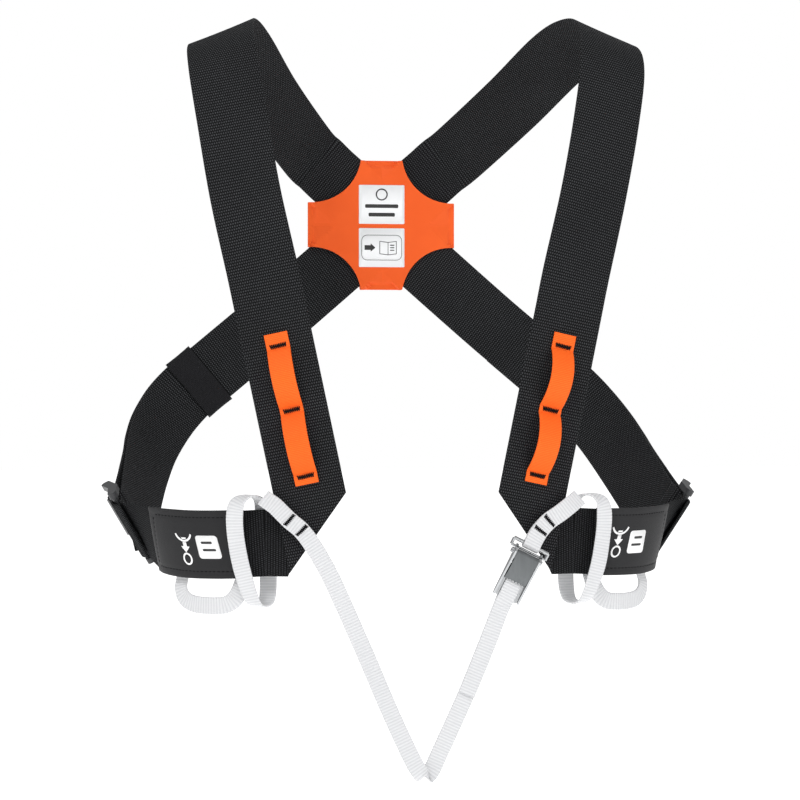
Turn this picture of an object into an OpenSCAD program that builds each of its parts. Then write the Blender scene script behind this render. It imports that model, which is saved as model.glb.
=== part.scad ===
// Chest harness vest: two black shoulder straps cross in an orange back plate, meet the side
// panels in ladder locks, and are drawn together in front by a white strap with a cam buckle.
// Millimetres. +Z is up, the wearer faces -Y, and the origin lies between the shoulders at the
// height of the neck. Left and right are as seen from in front of the wearer.

/* [Shoulder straps] */
// Width of the black webbing
strap_w = 45; // [40:1:50]
// Thickness of the black webbing
strap_t = 2.0; // [1.6:0.1:2.2]
// Lean of the chest straps towards the middle
chest_lean = 12; // [8:1:15]
// Turn of the chest straps round the ribs
chest_turn = 10; // [6:1:14]

/* [White webbing] */
// Width of the white webbing
cord_w = 11; // [9:1:12]
// Thickness of the white webbing
cord_t = 1.5; // [1.2:0.1:1.8]

/* [Gear loops on the chest] */
// Width of the orange webbing
loop_w = 15; // [10:1:15]
// Thickness of the orange webbing
loop_t = 1.4; // [1.2:0.1:1.6]
// How far the orange loops stand proud of the strap
loop_rise = 9.5; // [8:0.5:10]

/* [Back plate] */
// Width over the side arms
plate_w = 106; // [100:1:110]
// Height over the top and bottom arms
plate_h = 93; // [90:1:96]
// Width of each arm's square end
arm_w = 30; // [28:1:31]
// Thickness of one orange layer
plate_t = 1.2; // [1:0.1:1.4]

/* [Buckles] */
// Thickness of the ladder lock's bars
bar_d = 4; // [3.6:0.1:4.2]
// Width of the cam buckle over its cheeks
cam_buckle_w = 18; // [17:0.5:20]

/* [Hidden] */
$fn = 48;
STEPS = 4;
GAP = 0.4;

// ---- Vector helpers ----
function unit(v) = v / norm(v);
// v without its part along the unit vector n
function across(v, n) = v - (v * n) * n;
// Point u of the way from b to c on the smooth curve through a, b, c and d
function curve_point(a, b, c, d, u) =
    0.5 * (2 * b + u * (c - a) + u * u * (2 * a - 5 * b + 4 * c - d)
    + u * u * u * (3 * b - a - 3 * c + d));
// A row of stations made smooth, with n steps between neighbours
function smooth(s, n) = [
    for (i = [0 : len(s) - 2], k = [0 : n - 1])
        curve_point(s[max(i - 1, 0)], s[i], s[i + 1], s[min(i + 2, len(s) - 1)], k / n),
    s[len(s) - 1]];
// A closed row of stations made smooth
function smooth_ring(s, n) = [
    for (i = [0 : len(s) - 1], k = [0 : n - 1])
        curve_point(s[(i + len(s) - 1) % len(s)], s[i], s[(i + 1) % len(s)],
            s[(i + 2) % len(s)], k / n)];

// A station is a centre point and a width direction: [x, y, z, wx, wy, wz]
function centre(s) = [s[0], s[1], s[2]];
function wide(s) = [s[3], s[4], s[5]];
function heading(rows, i, closed) =
    let (n = len(rows))
    unit(centre(rows[closed ? (i + 1) % n : min(i + 1, n - 1)])
        - centre(rows[closed ? (i + n - 1) % n : max(i - 1, 0)]));

// The four corners of a webbing's cross-section at each station. lift moves the webbing off its
// own centre line along its face, and skew slants its two ends.
function corners(rows, i, w, t, lift, skew_a, skew_b, closed) =
    let (h = heading(rows, i, closed), a = unit(across(wide(rows[i]), h)), f = cross(a, h),
        skew = closed ? 0 : i == 0 ? skew_a : i == len(rows) - 1 ? skew_b : 0,
        c = centre(rows[i]) + lift * f)
    [c - w / 2 * a - skew * h - t / 2 * f, c + w / 2 * a + skew * h - t / 2 * f,
        c + w / 2 * a + skew * h + t / 2 * f, c - w / 2 * a - skew * h + t / 2 * f];

// A flat webbing swept along stations
module webbing(rows, w, t, lift = 0, skew_a = 0, skew_b = 0, closed = false) {
    n = len(rows);
    pts = [for (i = [0 : n - 1]) each corners(rows, i, w, t, lift, skew_a, skew_b, closed)];
    last = closed ? n - 1 : n - 2;
    // The inner face (k = 0) splits along the same diagonal as the outer one, so that twisted
    // layers nest
    sides = [for (i = [0 : last], k = [0 : 3])
        let (j = (i + 1) % n, m = (k + 1) % 4)
        each k == 0
            ? [[4 * i + k, 4 * j + k, 4 * i + m], [4 * i + m, 4 * j + k, 4 * j + m]]
            : [[4 * i + k, 4 * j + k, 4 * j + m], [4 * i + k, 4 * j + m, 4 * i + m]]];
    ends = closed ? [] : [[0, 1, 2], [0, 2, 3],
        [4 * n - 4, 4 * n - 2, 4 * n - 3], [4 * n - 4, 4 * n - 1, 4 * n - 2]];
    polyhedron(pts, concat(sides, ends), convexity = 8);
}
// Places flat work in a frame whose X, Y and Z axes are a, b and c, and whose origin is o
module placed(o, a, b, c) {
    multmatrix([[a[0], b[0], c[0], o[0]], [a[1], b[1], c[1], o[1]], [a[2], b[2], c[2], o[2]]])
        children();
}
module other_side() {
    mirror([1, 0, 0]) children();
}

// ---- The flat of the chest strap, on the left: across, up and out ----
chest_at = [-96.5, -108, -178];
chest_flat = [cos(chest_turn), -sin(chest_turn), 0];
chest_across = cos(chest_lean) * chest_flat + sin(chest_lean) * [0, 0, 1];
chest_up = -sin(chest_lean) * chest_flat + cos(chest_lean) * [0, 0, 1];
chest_out = [-sin(chest_turn), -cos(chest_turn), 0];
function on_chest(a, u, o) = chest_at + a * chest_across + u * chest_up + o * chest_out;
function chest_station(u, o = 0) = [each on_chest(0, u, o), each chest_across];
// The strap ends in a slanted cut, this far below chest_at on its centre line
tip_drop = 152;
tip_slant = 21;

// ---- The ladder lock's frame, on the right: forward along the strap, width and out ----
lock_at = [176, -12, -322];
lock_fwd = unit([0.05, -0.95, -0.3]);
lock_wide = unit(across([0.46, 0, 0.89], lock_fwd));
lock_out = cross(lock_wide, lock_fwd);
function on_lock(f, o) = lock_at + f * lock_fwd + o * lock_out;
function lock_station(p) = [each on_lock(p[0], p[1]), each lock_wide];
// The middle bar is at 0 forward, and the three bars stand this far out from the strap
mid_bar = [0, 3.4];
front_bar = [12, 3.4];
rear_bar = [-13, 9.4];
// The strap turns back round the middle bar with room for the lock to tilt
turn_r = 4.6;

// ---- The main strap that starts at the left front and ends in the right ladder lock ----
plate_at = [0, 112, -118];
lap = strap_t / 2 + GAP / 2;
shoulder = [
    [-110, -102, -115, 0.96, -0.2, 0.22],
    [-117.5, -93, -68, 0.95, -0.16, 0.27],
    [-123, -78, -28, 0.94, -0.1, 0.33],
    [-123, -52, -8, 0.93, -0.02, 0.37],
    [-116, -20, -5, 0.88, 0.05, 0.45],
    [-103, 14, -14, 0.82, 0.08, 0.56],
    [-82, 57, -38, 0.76, 0.06, 0.65],
    [-54, 101.5, -66.5, 0.71, 0.02, 0.7]];
// The strap lies flat before it enters the back plate
landing = [
    [-44, 109.5, -75, 0.7, 0.01, 0.71],
    [-36.5, 111.8, -81.8, 0.7, 0, 0.715]];
crossing = [[-24, -93], [0, -117], [24, -139.5]];
flank = [
    [75, 112, -184, 0.64, 0, 0.77],
    [103, 112, -207.5, 0.64, 0, 0.77],
    [131, 112, -231, 0.64, 0, 0.77],
    [141, 111.8, -239.5, 0.64, 0, 0.77],
    [152, 106, -252.5, 0.64, -0.1, 0.76],
    [162, 91, -269, 0.64, -0.2, 0.75],
    [167.5, 70, -283.5, 0.6, -0.22, 0.78],
    [171, 45, -297, 0.54, -0.22, 0.82]];
turn = [for (t = [-90 : 30 : 90])
    lock_station([turn_r * cos(t), turn_r * (1 + sin(t))])];
tail_gap = strap_t + GAP;
tail = [lock_station([-8, 8.2]), lock_station([-16, 5.2])];
// The loose end lies along the outside of the strap, this far off its centre line
function lifted(rows, d) = [for (i = [0 : len(rows) - 1])
    let (h = heading(rows, i, false), a = unit(across(wide(rows[i]), h)))
    [each (centre(rows[i]) + d * cross(a, h)), each wide(rows[i])]];
function reversed(rows) = [for (i = [len(rows) - 1 : -1 : 0]) rows[i]];
tail_end = [92, 112 + tail_gap, -198.3, 0.64, 0, 0.77];
function part_of(rows, a, b) = [for (i = [a : b]) rows[i]];

// The right shoulder sits a little further out and higher than the left one
function seated(sit) = [for (i = [0 : len(shoulder) - 1])
    shoulder[i] + sin(180 * (i + 0.5) / len(shoulder)) * [each sit, 0, 0, 0]];
function strap_rows(shift, sit) = concat(
    [chest_station(-tip_drop)],
    smooth(concat(
        [for (u = [-tip_drop + 25, -80, -40, -10, 15]) chest_station(u)],
        seated(sit),
        [for (s = landing) s + [0, shift, 0, 0, 0, 0]],
        [for (p = crossing) [p[0], plate_at[1] + shift, p[1], 0.7, 0, 0.715]],
        flank, [lock_station([-20, 0]), lock_station([-8, 0])]), STEPS),
    turn,
    smooth(concat(tail, reversed(lifted(part_of(flank, 2, 7), tail_gap)), [tail_end]), STEPS));

module main_strap(shift, sit) {
    webbing(strap_rows(shift, sit), strap_w, strap_t, skew_a = tip_slant);
}
module main_strap_left() {
    color("#202124") main_strap(-lap, [0, 0, 0]);
}
module main_strap_right() {
    color("#202124") other_side() main_strap(lap, [-8, 0, 4]);
}

// ---- Back plate: two orange layers sewn together at the four arms ----
cut_r = 36;
cut_rise = 5.5;
module plate_outline() {
    difference() {
        square([plate_w, plate_h], center = true);
        for (x = [-1, 1], y = [-1, 1])
            translate([x * (arm_w / 2 + sqrt(cut_r * cut_r - cut_rise * cut_rise)),
                y * (plate_h / 2 + cut_rise)]) circle(cut_r);
    }
}
// Flat work on the wearer's back: X stays, drawn Y becomes up and drawn Z points backwards
module on_back(y) {
    placed([plate_at[0], y, plate_at[2]], [-1, 0, 0], [0, 0, 1], [0, 1, 0]) children();
}
inner_y = plate_at[1] - lap - strap_t / 2 - GAP;
outer_y = plate_at[1] + lap + strap_t / 2 + GAP;
module back_plate_inner() {
    color("#ea5a22") on_back(inner_y - plate_t) linear_extrude(plate_t) plate_outline();
}
module back_plate_outer() {
    color("#ea5a22") on_back(outer_y) linear_extrude(plate_t) plate_outline();
}
seam_h = 5;
module back_plate_seams() {
    color("#d94e1c") on_back(inner_y) linear_extrude(outer_y - inner_y) {
        for (s = [-1, 1]) {
            translate([0, s * plate_h / 2]) polygon([[-11, 0], [11, 0], [8, -s * seam_h],
                [-8, -s * seam_h]]);
            translate([s * (plate_w - seam_h) / 2, 0]) square([seam_h, 20], center = true);
        }
    }
}

// ---- White patches on the wearer's side of the plate ----
label_t = 0.4;
module care_label(h, z) {
    color("white") on_back(inner_y - plate_t - label_t)
        linear_extrude(label_t) translate([0, z]) square([33, h], center = true);
}
module care_label_top() {
    care_label(28, 14.8);
}
module care_label_bottom() {
    care_label(28, -16.3);
}

// ---- Orange loops on the chest straps, held by three bar tacks each ----
tack_u = [-33, -74, -116];
loops_top = -25;
loops_end = -121;
loop_seat = strap_t / 2 + GAP / 2 + loop_t / 2;
// The webbing stays flat this far to either side of a tack
tack_flat = 2.6;
// Height of the orange webbing above its seat: a hump between each two tacks
function hump(u) =
    let (top = u > tack_u[1] ? tack_u[0] : tack_u[1], low = u > tack_u[1] ? tack_u[1] : tack_u[2],
        a = top - tack_flat, b = low + tack_flat)
    u >= a || u <= b ? 0 : loop_rise * pow(sin(180 * (u - a) / (b - a)), 0.8);
module chest_loops_right() {
    color("#f26a21") other_side() chest_loops();
}
module chest_loops_left() {
    color("#f26a21") chest_loops();
}
module chest_loops() {
    webbing([for (k = [0 : 48]) let (u = loops_top + (loops_end - loops_top) * k / 48)
        chest_station(u, loop_seat + hump(u))], loop_w, loop_t);
}
tack_size = [10, 2.2, 0.6];
module chest_tacks() {
    placed(chest_at, chest_across, chest_up, chest_out) for (u = tack_u)
        translate([0, u, loop_seat + loop_t / 2 + tack_size[2] / 2 + GAP / 2])
            cube(tack_size, center = true);
}
module chest_tacks_left() {
    color("#18191b") chest_tacks();
}
module chest_tacks_right() {
    color("#18191b") other_side() chest_tacks();
}

// ---- Side panel: webbing looped round the lock's front bar and sewn behind the chest strap ----
panel_r = bar_d / 2 + GAP + strap_t / 2;
panel_loop = [for (t = [90 : 30 : 270])
    lock_station([front_bar[0] + panel_r * cos(t), front_bar[1] + panel_r * sin(t)])];
panel_w = strap_w - 3;
panel_seat = -strap_t - GAP;
function mirrored(v) = [-v[0], v[1], v[2]];
panel = [
    [171, -42, -330, 0.34, -0.12, 0.93],
    [161.5, -66, -333, 0.2, -0.02, 0.98],
    [146, -84.5, -334.5, 0.08, 0, 1],
    [129, -96, -334.5, 0.03, 0, 1],
    [112, -101.5, -334, 0, 0, 1],
    [each mirrored(on_chest(-33.5, -151.5, panel_seat)), 0, 0, 1]];
panel_end = [each mirrored(on_chest(-11, -156.5, panel_seat)), 0, 0, 1];
panel_slant = 9;
panel_low = front_bar[1] - panel_r;
panel_rows = smooth(concat([lock_station([12.5, panel_low]), lock_station([18, panel_low - 0.3])],
    panel), STEPS);
module side_panel() {
    webbing(concat([lock_station([25, 1.6]), lock_station([20, 3.4]), lock_station([15.5, 5.9])],
        panel_loop, panel_rows, [panel_end]), panel_w, strap_t, skew_b = panel_slant);
}
module side_panel_right() {
    color("#202124") side_panel();
}
module side_panel_left() {
    color("#202124") other_side() side_panel();
}
cover_t = 0.8;
cover_lift = (strap_t + cover_t) / 2 + GAP / 2;
// The covers and their marks start and end at these stations
cover_span = [11, 24];
badge_span = [17, 20];
cover_rows = part_of(panel_rows, cover_span[0], cover_span[1]);
module panel_cover_right() {
    color("#34363a") webbing(cover_rows, panel_w + 1, cover_t, lift = cover_lift);
}
module panel_cover_left() {
    color("#34363a") other_side() webbing(cover_rows, panel_w + 1, cover_t, lift = cover_lift);
}
badge_t = 0.3;
module panel_badge() {
    webbing(part_of(panel_rows, badge_span[0], badge_span[1]), 15, badge_t,
        lift = cover_lift + (cover_t + badge_t) / 2 + GAP / 2);
}
module panel_badge_right() {
    color("white") panel_badge();
}
module panel_badge_left() {
    color("white") other_side() panel_badge();
}

// ---- Elastic keeper on the straight of the flank ----
keeper_at = [131, 112, -231];
keeper_l = 21;
keeper_t = 1.4;
keeper_room = 0.6;
flank_wide = unit([0.64, 0, 0.77]);
flank_along = unit([0.77, 0, -0.64]);
module keeper() {
    inside = [2 * strap_t + GAP + 2 * keeper_room, strap_w + 2 * keeper_room];
    placed(keeper_at + [0, tail_gap / 2, 0], [0, 1, 0], flank_wide, flank_along)
        translate([0, 0, -keeper_l / 2]) linear_extrude(keeper_l) difference() {
            square(inside + 2 * [keeper_t, keeper_t], center = true);
            square(inside, center = true);
        }
}
module keeper_right() {
    color("#17181a") keeper();
}
module keeper_left() {
    color("#17181a") other_side() keeper();
}

// ---- Ladder lock: two side rails, three bars and a thumb tab ----
rail_w = 4;
rail_at = strap_w / 2 + 1;
rail_r = 3.1;
rail_shape = [[12, 0.3], [12, 6.5], [0, 6.8], [-12, 12.3], [-14.5, 6.7], [0, 0.3]];
tab_shape = [[-13, 11.2], [-14, 8], [-24, 13.5], [-24.5, 16], [-22.5, 16.5]];
tab_w = 28;
module rail_outline() {
    for (p = [front_bar, mid_bar, rear_bar]) translate(p) circle(rail_r);
    polygon(rail_shape);
}
module ladder_lock() {
    placed(lock_at, lock_fwd, lock_out, lock_wide) {
        for (z = [rail_at, -rail_at - rail_w]) translate([0, 0, z]) linear_extrude(rail_w)
            rail_outline();
        for (p = [front_bar, mid_bar, rear_bar]) translate([p[0], p[1], -rail_at])
            cylinder(h = 2 * rail_at, d = p == front_bar ? bar_d : bar_d - 0.2);
        translate([0, 0, -tab_w / 2]) linear_extrude(tab_w) polygon(tab_shape);
    }
}
module ladder_lock_right() {
    color("#2b2d30") ladder_lock();
}
module ladder_lock_left() {
    color("#2b2d30") other_side() ladder_lock();
}

// ---- White rings round the side panels ----
ring = [
    [116, -109.5, -331, 0.94, 0.33, 0],
    [117, -110, -316, 0.94, 0.33, 0.05],
    [115, -110, -307.5, 0.8, 0.6, 0.1],
    [108, -107.5, -303.7, 0.5, 0.86, 0],
    [101, -102, -306.5, 0.6, 0.8, 0],
    [98, -97.5, -316.5, 0.94, 0.3, 0],
    [96, -95.5, -340, 0.96, 0.25, 0],
    [95, -95, -358, 0.96, 0.25, 0],
    [97, -99.5, -371, 0.9, 0.4, -0.1],
    [105, -108, -370, 0.9, 0.45, 0.2],
    [112, -111, -351, 0.94, 0.33, 0.1]];
module ring_right() {
    color("#f2f2f0") webbing(smooth_ring(ring, 3), cord_w, cord_t, closed = true);
}
module ring_left() {
    color("#f2f2f0") other_side() webbing(smooth_ring(ring, 3), cord_w, cord_t, closed = true);
}

// ---- Gear loops under the side panels ----
gear_loop = [
    [146.4, -75.8, -344, 0.64, 0.77, 0],
    [148.2, -76.2, -356.5, 0.64, 0.77, 0],
    [149.2, -77.6, -362.5, 0.67, 0.74, -0.1],
    [147.8, -80, -368, 0.61, 0.6, -0.51],
    [144, -84, -371.4, 0.32, 0.31, -0.9],
    [138, -89.5, -372.8, 0.05, 0.05, -1],
    [129, -95.5, -373, 0, 0, -1],
    [122, -97.8, -372.2, -0.08, 0, -1],
    [116.8, -98.7, -369, -0.5, -0.15, -0.84],
    [112.8, -98.8, -362.5, -0.82, -0.25, -0.5],
    [110.2, -98.6, -354, -0.95, -0.25, -0.15],
    [109.4, -98.5, -345, -0.96, -0.25, 0]];
module gear_loop_right() {
    color("#f2f2f0") webbing(smooth(gear_loop, STEPS), cord_w, cord_t);
}
module gear_loop_left() {
    color("#f2f2f0") other_side() webbing(smooth(gear_loop, STEPS), cord_w, cord_t);
}

// ---- Cam buckle's frame: width, up along the strap and out ----
buckle_at = [58.6, -121, -354];
buckle_lean = 26.5;
buckle_wide = [cos(buckle_lean), 0, -sin(buckle_lean)];
buckle_up = [sin(buckle_lean), 0, cos(buckle_lean)];
buckle_out = [0, -1, 0];
function on_buckle(u, o) = buckle_at + u * buckle_up + o * buckle_out;
function buckle_station(u, o) = [each on_buckle(u, o), each buckle_wide];
module in_buckle() {
    placed(buckle_at, buckle_wide, buckle_up, buckle_out) children();
}
anchor_bar = [21, 0.3];
guard_bar = [16.6, 0.3];
turn_bar = [8, 0.2];
cam_pin_at = [13.6, 5];
wire_d = 2.4;
cheek_t = 1.2;

// ---- White yoke strap: down from the left chest, up to the buckle and round its bar ----
yoke_y = -121;
// The strap's right half runs a little behind its left half, from the fold at the V's tip
yoke_back_y = -119.5;
fold_y = -118.6;
tip_y = (yoke_y + fold_y) / 2;
yoke_down = [
    [-99.4, -113.4, -304.6, 0.62, 0.2, 0.76],
    [-96.4, -114.5, -306.8, 0.6, 0.18, 0.78],
    [-92, -115.5, -310, 0.6, 0.15, 0.78],
    [-83.5, -117.8, -318.5, 0.6, 0.12, 0.8],
    [-76, -119, -325, 0.66, 0.1, 0.75],
    [-69, -120.3, -334.5, 0.78, 0, 0.62],
    [-60, yoke_y, -350, 0.86, 0, 0.5],
    [-51, yoke_y, -369, 0.9, 0, 0.43],
    [-36, yoke_y, -403, 0.91, 0, 0.41],
    [-21, yoke_y, -438, 0.92, 0, 0.4],
    [-8, yoke_y, -466, 0.94, 0, 0.34],
    [-2.5, yoke_y, -475.5, 0.98, 0, 0.2],
    [1, tip_y, -478.5, 1, 0, 0],
    [5, fold_y, -475.5, 0.98, 0, -0.2],
    [10.5, fold_y, -464, 0.93, 0, -0.37],
    [26, yoke_back_y, -430, 0.92, 0, -0.4],
    [38.5, yoke_back_y, -400, 0.91, 0, -0.42]];
back_leg = -0.6 - GAP - cord_t / 2;
turn_back_r = wire_d / 2 + GAP + cord_t / 2;
front_leg = turn_bar[1] + turn_back_r;
module yoke_strap() {
    rows = concat(
        smooth(concat(yoke_down, [for (u = [-18, -4, 4]) buckle_station(u, back_leg)]), STEPS),
        [for (t = [-90 : 30 : 90]) buckle_station(turn_bar[0] + turn_back_r * cos(t),
            turn_bar[1] + turn_back_r * sin(t))]);
    color("#f2f2f0") webbing(rows, cord_w, cord_t);
}
tail_lay = cord_t + GAP;
module yoke_tail() {
    color("#f2f2f0") webbing(smooth([buckle_station(turn_bar[0] - GAP, front_leg),
        buckle_station(2, 1.9), buckle_station(-5, 1.55), buckle_station(-14, 1.6),
        buckle_station(-24, 1.2),
        [38.5, yoke_back_y - tail_lay, -400, 0.91, 0, -0.42],
        [27, yoke_back_y - tail_lay, -427.5, 0.92, 0, -0.4]], STEPS), cord_w, cord_t);
}

// ---- White anchor strap: doubled from the right chest round the buckle's top bar ----
anchor_r = wire_d / 2 + GAP + cord_t / 2;
anchor_lay = (cord_t + GAP) / 2;
// Where both layers reach the buckle, along it, and how far out the front one is there
anchor_end = 24.5;
anchor_front = 1.9;
anchor_leg = [
    [100, -112.4, -305.8, 0.62, -0.17, -0.76],
    [94, -116, -310, 0.6, -0.15, -0.78],
    [87, -118, -315, 0.6, -0.12, -0.8],
    [79.5, -119, -320, 0.66, -0.1, -0.75],
    [73.5, -120.5, -326, 0.8, 0, -0.6]];
module anchor_strap() {
    front = concat(lifted(anchor_leg, -anchor_lay), [buckle_station(anchor_end, anchor_front)]);
    back = concat(lifted(anchor_leg, anchor_lay), [buckle_station(anchor_end, -1.3)]);
    rows = concat(smooth(front, STEPS),
        [for (t = [90 : -30 : -90]) buckle_station(anchor_bar[0] - anchor_r * cos(t),
            anchor_bar[1] + anchor_r * sin(t))],
        smooth(reversed(back), STEPS));
    color("#f2f2f0") webbing(rows, cord_w, cord_t);
}
yoke_tack_size = [1.8, 9, 0.6];
// A bar tack across the row's station i, in front of webbing whose face is this far out
module tack_at(rows, i, face) {
    h = unit(centre(rows[i + 1]) - centre(rows[i - 1]));
    a = unit(across(wide(rows[i]), h));
    placed(centre(rows[i]), h, a, cross(h, a))
        translate([0, 0, face + (yoke_tack_size[2] + GAP / 2) / 2])
            cube(yoke_tack_size, center = true);
}
module yoke_tacks() {
    color("#18191b") for (i = [3, 4]) {
        tack_at(yoke_down, i, cord_t / 2);
        tack_at(concat(anchor_leg, [buckle_station(anchor_end, anchor_front)]), i,
            anchor_lay + cord_t / 2);
    }
}

// ---- Cam buckle ----
frame_low = -16;
cheek_h = 7.4;
module cheek() {
    difference() {
        linear_extrude(cheek_t) difference() {
            polygon([[frame_low + 3, -0.6], [18.5, -0.6], [18.5, 2.2], [cam_pin_at[0] + 2.6, 6.2],
                [cam_pin_at[0], cheek_h], [cam_pin_at[0] - 4, 6.6], [-6, 3.4], [frame_low, 1.8],
                [frame_low, 0.4]]);
            translate(cam_pin_at) circle(d = 2.1);
        }
    }
}
module buckle_frame() {
    half = cam_buckle_w / 2;
    color("#b9bcc0") in_buckle() {
        // Base plate behind the webbing, with its lower corners round
        translate([0, 0, -0.6]) linear_extrude(1.2) difference() {
            union() {
                translate([-half, frame_low + 4]) square([cam_buckle_w, 18]);
                translate([-half + 4, frame_low]) square([cam_buckle_w - 8, 5]);
                for (x = [-1, 1]) translate([x * (half - 4), frame_low + 4]) circle(4);
            }
            translate([-3.5, -9]) square([7, 6]);
        }
        // Cheeks stand up at both sides
        for (x = [-half, half - cheek_t]) placed([x, 0, 0], [0, 1, 0], [0, 0, 1], [1, 0, 0])
            cheek();
        // Two wire bars at the top, and the bar that the webbing turns round
        for (b = [anchor_bar, guard_bar]) translate([-12, b[0], b[1]]) rotate([0, 90, 0])
            cylinder(h = 24, d = b == anchor_bar ? wire_d : 1.8);
        for (x = [-12, 12]) translate([x, guard_bar[0], guard_bar[1]]) rotate([-90, 0, 0])
            cylinder(h = anchor_bar[0] - guard_bar[0], d = 2);
        translate([-half + cheek_t / 2, turn_bar[0], turn_bar[1]]) rotate([0, 90, 0])
            cylinder(h = cam_buckle_w - cheek_t, d = wire_d);
    }
}
module buckle_cam() {
    w = cam_buckle_w - 2 * cheek_t - 1;
    teeth = 7;
    color("#7d8186") in_buckle() difference() {
        union() {
            placed([-w / 2, 0, 0], [0, 1, 0], [0, 0, 1], [1, 0, 0]) linear_extrude(w) union() {
                translate(cam_pin_at) circle(2);
                polygon([[cam_pin_at[0], 7], [cam_pin_at[0] - 1, 4.1], [6, 4], [0, 3.4],
                    [-3, 2.9], [-3.6, 4.4], [2, 6.6]]);
            }
            for (i = [0 : teeth - 1]) translate([(i - (teeth - 1) / 2) * w / teeth, -3, 3])
                linear_extrude(1) polygon([[-w / teeth / 2, 0.2], [0, -1.4], [w / teeth / 2, 0.2]]);
        }
        translate([-w, cam_pin_at[0], cam_pin_at[1]]) rotate([0, 90, 0]) cylinder(h = 2 * w, d = 2);
    }
}
pin_d = 1.7;
module cam_pin() {
    color("silver") in_buckle() translate([-11.5, cam_pin_at[0], cam_pin_at[1]])
        rotate([0, 90, 0]) {
            cylinder(h = 21.5, d = pin_d);
            translate([0, 0, 20.7]) cylinder(h = 0.8, d = 3);
        }
}
module cam_spring() {
    color("silver") in_buckle() for (i = [0 : 2])
        translate([-9.7 - 0.65 * i, cam_pin_at[0], cam_pin_at[1]]) rotate([0, 90, 0])
            rotate_extrude() translate([1.5, 0]) circle(d = 0.6, $fn = 24);
}

main_strap_left();
main_strap_right();
back_plate_inner();
back_plate_outer();
back_plate_seams();
care_label_top();
care_label_bottom();
side_panel_left();
side_panel_right();
panel_cover_left();
panel_cover_right();
panel_badge_left();
panel_badge_right();
chest_loops_left();
chest_loops_right();
chest_tacks_left();
chest_tacks_right();
keeper_left();
keeper_right();
ladder_lock_left();
ladder_lock_right();
ring_left();
ring_right();
yoke_strap();
yoke_tail();
anchor_strap();
yoke_tacks();
buckle_frame();
buckle_cam();
cam_pin();
cam_spring();
gear_loop_left();
gear_loop_right();
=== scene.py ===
# %% [markdown]
# # A chest harness vest in webbing, coated fabric and steel
# The vest is two wide black straps that cross in an orange back plate, two side panels, and a
# narrow white strap that draws the front together. Nearly all of it is woven tape, so most of
# this lesson is about one tool: a function that sweeps a rounded, ribbed tape along a row of
# stations. The hard parts, two ladder locks and a small cam buckle, come from the CAD frame.

# %% Load the frame
import math

import bmesh
import bpy
import numpy as np
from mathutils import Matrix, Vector


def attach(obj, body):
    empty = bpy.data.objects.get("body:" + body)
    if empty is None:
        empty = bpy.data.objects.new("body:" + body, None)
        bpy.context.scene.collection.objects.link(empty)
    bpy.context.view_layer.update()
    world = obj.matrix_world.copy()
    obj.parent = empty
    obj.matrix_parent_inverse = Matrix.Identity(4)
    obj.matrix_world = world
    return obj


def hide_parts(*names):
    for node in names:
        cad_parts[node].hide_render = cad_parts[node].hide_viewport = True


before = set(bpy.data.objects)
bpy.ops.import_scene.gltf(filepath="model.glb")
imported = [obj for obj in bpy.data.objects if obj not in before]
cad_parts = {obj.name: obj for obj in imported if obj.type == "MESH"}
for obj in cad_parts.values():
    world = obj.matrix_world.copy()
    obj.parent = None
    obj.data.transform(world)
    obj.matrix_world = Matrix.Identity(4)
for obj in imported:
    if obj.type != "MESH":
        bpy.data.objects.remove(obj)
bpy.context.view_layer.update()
MM = 0.001

# %% [markdown]
# ## Camera
# The camera comes first. It stands level with the middle of the vest, about 1.6 m in front and
# a little to one side. A long lens keeps the near chest straps from looking too big against the
# back plate, which is what a short lens would do.

# %% Camera
CAMERA_TURN = math.radians(-7)
camera_data = bpy.data.cameras.new("camera")
camera_data.lens = 104.8
camera_data.sensor_width = 36
camera = bpy.data.objects.new("camera", camera_data)
camera.location = (-0.1913, -1.5583, -0.244)
camera.rotation_euler = (math.radians(90), 0, CAMERA_TURN)
bpy.context.scene.collection.objects.link(camera)
bpy.context.scene.camera = camera
print("camera", tuple(round(x, 3) for x in camera.location), "lens", camera_data.lens)

# %% [markdown]
# ## Floor and light
# A white floor that glows a little lies under the vest, and three large soft lights stand around
# it. The world is white to the camera but dimmer as a light source, and dimmer still from below,
# so that black webbing keeps its depth and steel has something darker than white to reflect.

# %% Floor and light
scene = bpy.context.scene
scene.view_settings.view_transform = "Standard"
FLOOR_Z = -0.56
floor_mesh = bpy.data.meshes.new("floor")
floor_mesh.from_pydata([(-9, -9, FLOOR_Z), (9, -9, FLOOR_Z), (9, 9, FLOOR_Z), (-9, 9, FLOOR_Z)],
                       [], [(0, 1, 2, 3)])
floor = bpy.data.objects.new("floor", floor_mesh)
scene.collection.objects.link(floor)
floor_finish = bpy.data.materials.new("pale_floor")
floor_finish.use_nodes = True
floor_shader = floor_finish.node_tree.nodes["Principled BSDF"]
floor_shader.inputs["Base Color"].default_value = (0.93, 0.93, 0.93, 1)
floor_shader.inputs["Roughness"].default_value = 0.9
floor_shader.inputs["Specular IOR Level"].default_value = 0.1
floor_shader.inputs["Emission Color"].default_value = (1, 1, 1, 1)
floor_shader.inputs["Emission Strength"].default_value = 0.7
floor_mesh.materials.append(floor_finish)

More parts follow.
